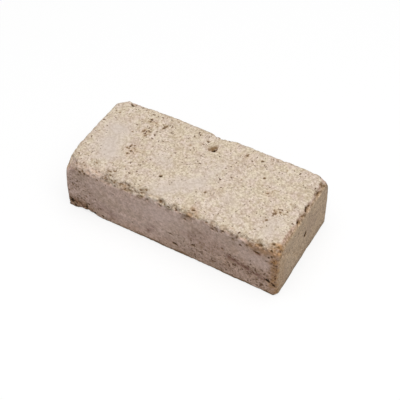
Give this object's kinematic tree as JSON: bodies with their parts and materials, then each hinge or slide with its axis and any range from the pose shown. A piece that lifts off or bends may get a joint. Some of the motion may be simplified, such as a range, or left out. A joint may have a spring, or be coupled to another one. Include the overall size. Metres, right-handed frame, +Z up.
{
  "type": "clay brick",
  "caption": "Solid pale fired-clay building brick, a rectangular block with worn, chipped arrises, rounded upper corners and a small blowhole in the upper bed; laid in mortar courses.",
  "frame": {"origin": "middle of the lower bed, on the floor that the brick lies on", "axes": "+X along the length towards the right header, +Y across the width towards the back stretcher, +Z up out of the upper bed"},
  "size_m": [0.203, 0.092, 0.057],
  "materials": {
    "fired_clay": "matte"
  },
  "bodies": {
    "root": {"brick": "fired_clay"}
  },
  "joints": []
}
